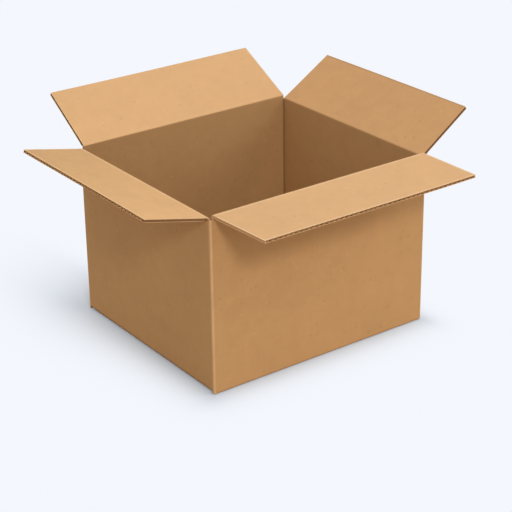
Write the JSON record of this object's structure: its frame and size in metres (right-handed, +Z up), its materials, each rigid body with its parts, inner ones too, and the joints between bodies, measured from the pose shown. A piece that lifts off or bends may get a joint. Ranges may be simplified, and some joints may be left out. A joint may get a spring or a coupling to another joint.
{
  "type": "open-top corrugated cardboard box",
  "caption": "Open slotted box of brown corrugated board, with four hinged top flaps splayed outwards and a taped bottom.",
  "frame": {"origin": "middle of the underside, on the ground that the box stands on", "axes": "+X to the right along the long front wall, +Y from the front wall to the back wall, +Z up"},
  "size_m": [0.531, 0.5144, 0.3074],
  "materials": {
    "wall_board": "matt brown kraft liner over corrugated board",
    "flap_board": "matt brown kraft liner",
    "paper_tape": "plain gummed paper tape"
  },
  "bodies": {
    "box": {"box_body": "wall_board", "bottom_tape": "paper_tape"},
    "front": {"front_flap": "flap_board"},
    "back": {"back_flap": "flap_board"},
    "left": {"left_flap": "flap_board"},
    "right": {"right_flap": "flap_board"}
  },
  "joints": [
    {"name": "front_fold", "type": "hinge", "parent": "box", "child": "front", "pos_m": [0, -0.159, 0.2523], "axis": [-1, 0, 0], "range_deg": [-61, 179]},
    {"name": "back_fold", "type": "hinge", "parent": "box", "child": "back", "pos_m": [0, 0.159, 0.2523], "axis": [1, 0, 0], "range_deg": [-90, 150]},
    {"name": "left_fold", "type": "hinge", "parent": "box", "child": "left", "pos_m": [-0.179, 0, 0.248], "axis": [0, 1, 0], "range_deg": [-73, 167]},
    {"name": "right_fold", "type": "hinge", "parent": "box", "child": "right", "pos_m": [0.179, 0, 0.248], "axis": [0, -1, 0], "range_deg": [-93, 147]}
  ]
}
